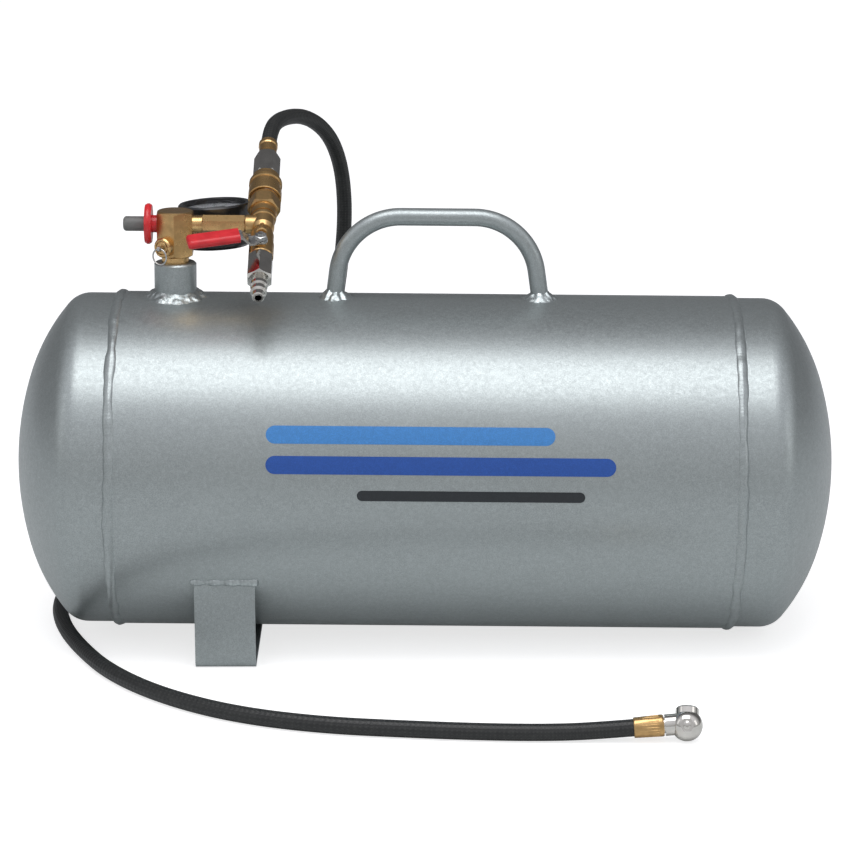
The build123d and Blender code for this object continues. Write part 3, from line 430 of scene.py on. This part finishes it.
def fillet_weld(name, centre_x, post_r, width, height, lumps, seed):
    """The lumpy fillet weld round a post on the tank; lumps is how many times its edge swells in one turn."""
    rows = []
    steps, columns = 240, 13
    for step in range(steps):
        turn = 2 * pi * step / steps
        here = Vector((cos(turn), sin(turn), seed * 2.7))
        puddle = 0.5 + 0.5 * sin(lumps * turn + 4.5 * noise.noise(here * 1.7))
        spread = width * (0.86 + 0.05 * puddle + 0.32 * noise.noise(here * 2.6))
        rise = height * (0.86 + 0.30 * noise.noise(here * 2.3 + Vector((4, 0, 0))))
        row = []
        for across in range(columns):
            t = across / (columns - 1)
            radius = post_r - WELD_OVERLAP + (spread + WELD_OVERLAP) * t
            y = radius * sin(turn)
            lump = noise.noise(Vector((radius * cos(turn), y, seed * MM)) * 330)
            swell = rise * (1 - t) ** 1.7 + (0.85 + 0.80 * lump) * MM * sin(pi * t)
            skin = sqrt(TANK_R ** 2 - y * y)
            row.append((centre_x + radius * cos(turn), y, skin - WELD_SINK * t + swell))
        rows.append(row)
    piece = grid_piece(name, rows, finishes["weld_metal"], closed_rows=True, transform=to_floor)
    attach(piece, "tank")
    return piece


BUNG_WELD_WIDTH = 8.5 * MM
BUNG_WELD_HEIGHT = 5.4 * MM
HANDLE_WELD_WIDTH = 7.0 * MM
HANDLE_WELD_HEIGHT = 5.6 * MM

bung_weld = fillet_weld("bung_weld_bead", BUNG_X, BUNG_R, BUNG_WELD_WIDTH, BUNG_WELD_HEIGHT,
                         lumps=17, seed=3)
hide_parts("coupling_weld")
for index, foot_x in enumerate(HANDLE_FEET_X):
    handle_weld = fillet_weld(f"handle_weld_bead_{index + 1}", foot_x, HANDLE_R, HANDLE_WELD_WIDTH,
                              HANDLE_WELD_HEIGHT, lumps=11, seed=5 + index)
    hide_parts("handle_welds")


def foot_bead(name, side, seed):
    """The bead along a top edge of the foot, thicker near its rounded ends; side -1 is the front."""
    low_x, high_x = FOOT_X[0] - FOOT_BEAD_R, FOOT_X[1] + FOOT_BEAD_R
    rows = []
    steps = 120
    for step in range(steps + 1):
        t = step / steps
        x = low_x + (high_x - low_x) * t
        end = min(t, 1 - t) * (high_x - low_x)
        taper = sqrt(max(0.0, 1 - max(0.0, 1 - end / FOOT_BEAD_R) ** 2))
        blob = 1.0 + 0.35 * max(0.0, 1 - end / FOOT_BLOB_LENGTH)
        radius = FOOT_BEAD_R * taper * blob * (0.85 + 0.14 * ripple(x - low_x) + 0.40 * wavering(x, seed))
        row = []
        for across in range(FOOT_BEAD_SIDES):
            turn = 2 * pi * across / FOOT_BEAD_SIDES
            y = side * (FOOT_HALF_DEPTH - WELD_OVERLAP + radius * cos(turn))
            row.append((x, y, FOOT_TOP + WELD_SINK + (radius + 0.02 * MM) * sin(turn)))
        rows.append(row)
    piece = grid_piece(name, rows, finishes["weld_metal"], closed_columns=True)
    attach(piece, "tank")
    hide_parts("foot_welds")


foot_bead("front_foot_weld_bead", side=-1, seed=8)
foot_bead("back_foot_weld_bead", side=1, seed=9)

# ---------------------------------------------------------------- decal bars

DECAL_LIFT = 0.12 * MM
DECAL_METALLIC = 0.15
BLUE = (0.055, 0.230, 0.560)
DARK_BLUE = (0.020, 0.085, 0.360)
NEAR_BLACK = (0.020, 0.024, 0.028)


def decal_bar(name, middle_x, middle_height, length, width, colour):
    """A printed bar with rounded ends on the tank; middle_height is measured round the tank's curve."""
    rows = []
    steps, columns = 80, 9
    for step in range(steps + 1):
        t = (1 - cos(pi * step / steps)) / 2
        x = middle_x - length / 2 + length * t
        end = min(t, 1 - t) * length
        half = width / 2 * sqrt(max(0.0, 1 - max(0.0, 1 - end / (width / 2)) ** 2))
        row = []
        for across in range(columns):
            height = middle_height + half * (across / (columns - 1) * 2 - 1)
            radius = TANK_R + DECAL_LIFT
            row.append((x, -radius * cos(height / TANK_R), radius * sin(height / TANK_R)))
        rows.append(row)
    ink = tank_paint(name + "_ink", colour, 0.42)
    ink.node_tree.nodes["Principled BSDF"].inputs["Metallic"].default_value = DECAL_METALLIC
    piece = grid_piece(name, rows, ink, transform=to_floor)
    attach(piece, "tank")


decal_bar("decal_bar_top", middle_x=-0.010, middle_height=0.046, length=0.190, width=0.012, colour=BLUE)
decal_bar("decal_bar_middle", middle_x=0.010, middle_height=0.026, length=0.230, width=0.012,
          colour=DARK_BLUE)
decal_bar("decal_bar_low", middle_x=0.030, middle_height=0.006, length=0.150, width=0.007,
          colour=NEAR_BLACK)

# ---------------------------------------------------------------- gauge print

PORT_ANGLE = radians(60)
GAUGE_REACH = 50.0 * MM
GAUGE_HEIGHT = 155.0 * MM
DIAL_TILT = radians(4)
DIAL_FACE = 10.02 * MM
ZERO_MARK = radians(135)
SWEEP = radians(270)
SMALL_STEPS = 40
LONG_EVERY = 5
FIGURES = 8
FIGURE_STEP = 20
ARC_PIECES = 120
TICK_OUTER = 20.8 * MM
LONG_TICK_INNER = 17.2 * MM
LONG_TICK_WIDTH = 0.65 * MM
SHORT_TICK_INNER = 19.0 * MM
SHORT_TICK_WIDTH = 0.32 * MM
ARC_INNER = 20.75 * MM
ARC_OUTER = 21.05 * MM
ARC_MIDDLE = 20.9 * MM
FIGURE_RADIUS = 14.0 * MM
FIGURE_SIZE = 4.0 * MM

outward = Vector((cos(PORT_ANGLE), sin(PORT_ANGLE), 0))
across = Vector((-sin(PORT_ANGLE), cos(PORT_ANGLE), 0))
dial_normal = Vector((0, 0, 1)) * cos(DIAL_TILT) + across * sin(DIAL_TILT)
dial_side = dial_normal.cross(outward)
dial_centre = Vector((BUNG_X, 0, GAUGE_HEIGHT)) + outward * GAUGE_REACH
dial_turn = Matrix((outward, dial_side, dial_normal)).transposed().to_4x4()
dial_matrix = Matrix.Translation(dial_centre) @ dial_turn
dial_to_floor = to_floor @ dial_matrix

ink_black = moulded("dial_ink", (0.015, 0.015, 0.016), 0.5, pebble=0.01)


def dial_mark(mesh, angle, inner, outer, width):
    """One mark of the scale as a flat four-sided face just above the dial, in the dial's frame."""
    direction = Vector((cos(angle), sin(angle), 0))
    side = Vector((-sin(angle), cos(angle), 0)) * width / 2
    near = direction * inner
    far = direction * outer
    corners = [near - side, far - side, far + side, near + side]
    mesh.faces.new([mesh.verts.new(corner + Vector((0, 0, DIAL_FACE))) for corner in corners])


def dial_print():
    """The scale: an arc line, and ticks at forty steps from zero, with a long one at zero and every fifth."""
    mesh = bmesh.new()
    for step in range(SMALL_STEPS + 1):
        angle = ZERO_MARK - SWEEP * step / SMALL_STEPS
        if step % LONG_EVERY == 0:
            dial_mark(mesh, angle, LONG_TICK_INNER, TICK_OUTER, LONG_TICK_WIDTH)
        else:
            dial_mark(mesh, angle, SHORT_TICK_INNER, TICK_OUTER, SHORT_TICK_WIDTH)
    chord = 2 * ARC_MIDDLE * sin(SWEEP / ARC_PIECES / 2)
    for step in range(ARC_PIECES):
        angle = ZERO_MARK - SWEEP * (step + 0.5) / ARC_PIECES
        dial_mark(mesh, angle, ARC_INNER, ARC_OUTER, chord)
    mesh.transform(dial_to_floor)
    data = bpy.data.meshes.new("dial_scale")
    mesh.to_mesh(data)
    mesh.free()
    data.materials.append(ink_black)
    scale = bpy.data.objects.new("dial_scale", data)
    bpy.context.scene.collection.objects.link(scale)
    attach(scale, "tank")


def dial_number(text, angle):
    """One figure of the scale, upright when the gauge is read from its stem side."""
    letters = bpy.data.curves.new(f"dial_figure_{text}", "FONT")
    letters.body = text
    letters.size = FIGURE_SIZE
    letters.align_x = "CENTER"
    letters.align_y = "CENTER"
    letters.materials.append(ink_black)
    figure = bpy.data.objects.new(f"dial_figure_{text}", letters)
    bpy.context.scene.collection.objects.link(figure)
    spot = Vector((cos(angle), sin(angle), 0)) * FIGURE_RADIUS + Vector((0, 0, DIAL_FACE))
    figure.matrix_world = dial_to_floor @ Matrix.Translation(spot) @ Matrix.Rotation(-pi / 2, 4, "Z")
    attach(figure, "tank")


dial_print()
for step in range(FIGURES + 1):
    dial_number(str(step * FIGURE_STEP), ZERO_MARK - SWEEP * step / FIGURES)

# ---------------------------------------------------------------- floor, lights and background

FLOOR_HALF = 6.0
FLOOR_TO_CAMERA = (0.60, 0.60, 0.60)
FLOOR_TO_OTHERS = (0.72, 0.74, 0.74)
GLOW_TO_CAMERA = 0.72
GLOW_TO_OTHERS = 0.06
LAMP_AIM = (0, 0, 0.1)
WHITE = (1, 1, 1, 1)

floor_data = bpy.data.meshes.new("floor")
floor_mesh = bmesh.new()
floor_mesh.faces.new([floor_mesh.verts.new((x * FLOOR_HALF, y * FLOOR_HALF, 0))
                      for x, y in ((-1, -1), (1, -1), (1, 1), (-1, 1))])
floor_mesh.to_mesh(floor_data)
floor_mesh.free()
floor = bpy.data.objects.new("floor", floor_data)
bpy.context.scene.collection.objects.link(floor)
# Rays straight from the camera meet a floor that glows towards white; all others, such as reflections in the
# metal, meet one that hardly glows. The floor is stage only and isn't exported.
floor_finish = Finish("floor", (0.90, 0.90, 0.90), 0.85)
floor_finish.shader.inputs["Emission Color"].default_value = WHITE
seen_directly = floor_finish.node("ShaderNodeLightPath").outputs["Is Camera Ray"]
floor_finish.colour(floor_finish.blend(seen_directly, FLOOR_TO_OTHERS, FLOOR_TO_CAMERA))
glow = floor_finish.ramp(seen_directly, 0.0, 1.0, GLOW_TO_OTHERS, GLOW_TO_CAMERA)
floor_finish.tree.links.new(glow, floor_finish.shader.inputs["Emission Strength"])
floor_data.materials.append(floor_finish.material)


def softbox(name, place, aim, width, height, energy):
    """A rectangular light turned towards a point, with its sides in metres and its energy in watts."""
    lamp = bpy.data.lights.new(name, "AREA")
    lamp.shape = "RECTANGLE"
    lamp.size = width
    lamp.size_y = height
    lamp.energy = energy
    holder = bpy.data.objects.new(name, lamp)
    holder.location = place
    holder.rotation_euler = (Vector(aim) - Vector(place)).to_track_quat("-Z", "Y").to_euler()
    bpy.context.scene.collection.objects.link(holder)


softbox("overhead_softbox", (-0.05, -0.45, 1.60), LAMP_AIM, width=1.35, height=0.90, energy=11)
softbox("left_softbox", (-1.6, -0.5, 0.9), LAMP_AIM, width=0.5, height=1.0, energy=0.7)
softbox("right_softbox", (1.7, -0.7, 0.7), LAMP_AIM, width=0.5, height=0.9, energy=1.2)

# The world is white to the camera; to everything else it is brighter overhead and dim behind the tank
SKY_LOW = (0.47, 0.475, 0.48, 1)
SKY_HIGH = (0.85, 0.85, 0.90, 1)
SKY_BEHIND = (0.13, 0.13, 0.135, 1)
LOW_UP_TO = 0.08
HIGH_FROM = 0.80
BEHIND_FROM = 0.45

world = bpy.data.worlds.new("studio")
world.use_nodes = True
bpy.context.scene.world = world
sky = world.node_tree
background = sky.nodes["Background"]
direction = sky.nodes.new("ShaderNodeTexCoord")
height = sky.nodes.new("ShaderNodeSeparateXYZ")
sky.links.new(direction.outputs["Generated"], height.inputs["Vector"])
ramp = sky.nodes.new("ShaderNodeValToRGB")
sky.links.new(height.outputs["Z"], ramp.inputs["Fac"])
ramp.color_ramp.elements[0].position = LOW_UP_TO
ramp.color_ramp.elements[0].color = SKY_LOW
ramp.color_ramp.elements[1].position = HIGH_FROM
ramp.color_ramp.elements[1].color = SKY_HIGH
behind = sky.nodes.new("ShaderNodeMapRange")
sky.links.new(height.outputs["Y"], behind.inputs["Value"])
behind.inputs["From Min"].default_value = 0.0
behind.inputs["From Max"].default_value = BEHIND_FROM
dim = sky.nodes.new("ShaderNodeMix")
dim.data_type = "RGBA"
sky.links.new(behind.outputs["Result"], dim.inputs[MIX_FACTOR])
sky.links.new(ramp.outputs["Color"], dim.inputs[MIX_FIRST])
dim.inputs[MIX_SECOND].default_value = SKY_BEHIND
rays = sky.nodes.new("ShaderNodeLightPath")
seen = sky.nodes.new("ShaderNodeMix")
seen.data_type = "RGBA"
sky.links.new(rays.outputs["Is Camera Ray"], seen.inputs[MIX_FACTOR])
sky.links.new(dim.outputs[MIX_RESULT], seen.inputs[MIX_FIRST])
seen.inputs[MIX_SECOND].default_value = WHITE
sky.links.new(seen.outputs[MIX_RESULT], background.inputs["Color"])
background.inputs["Strength"].default_value = 1.0
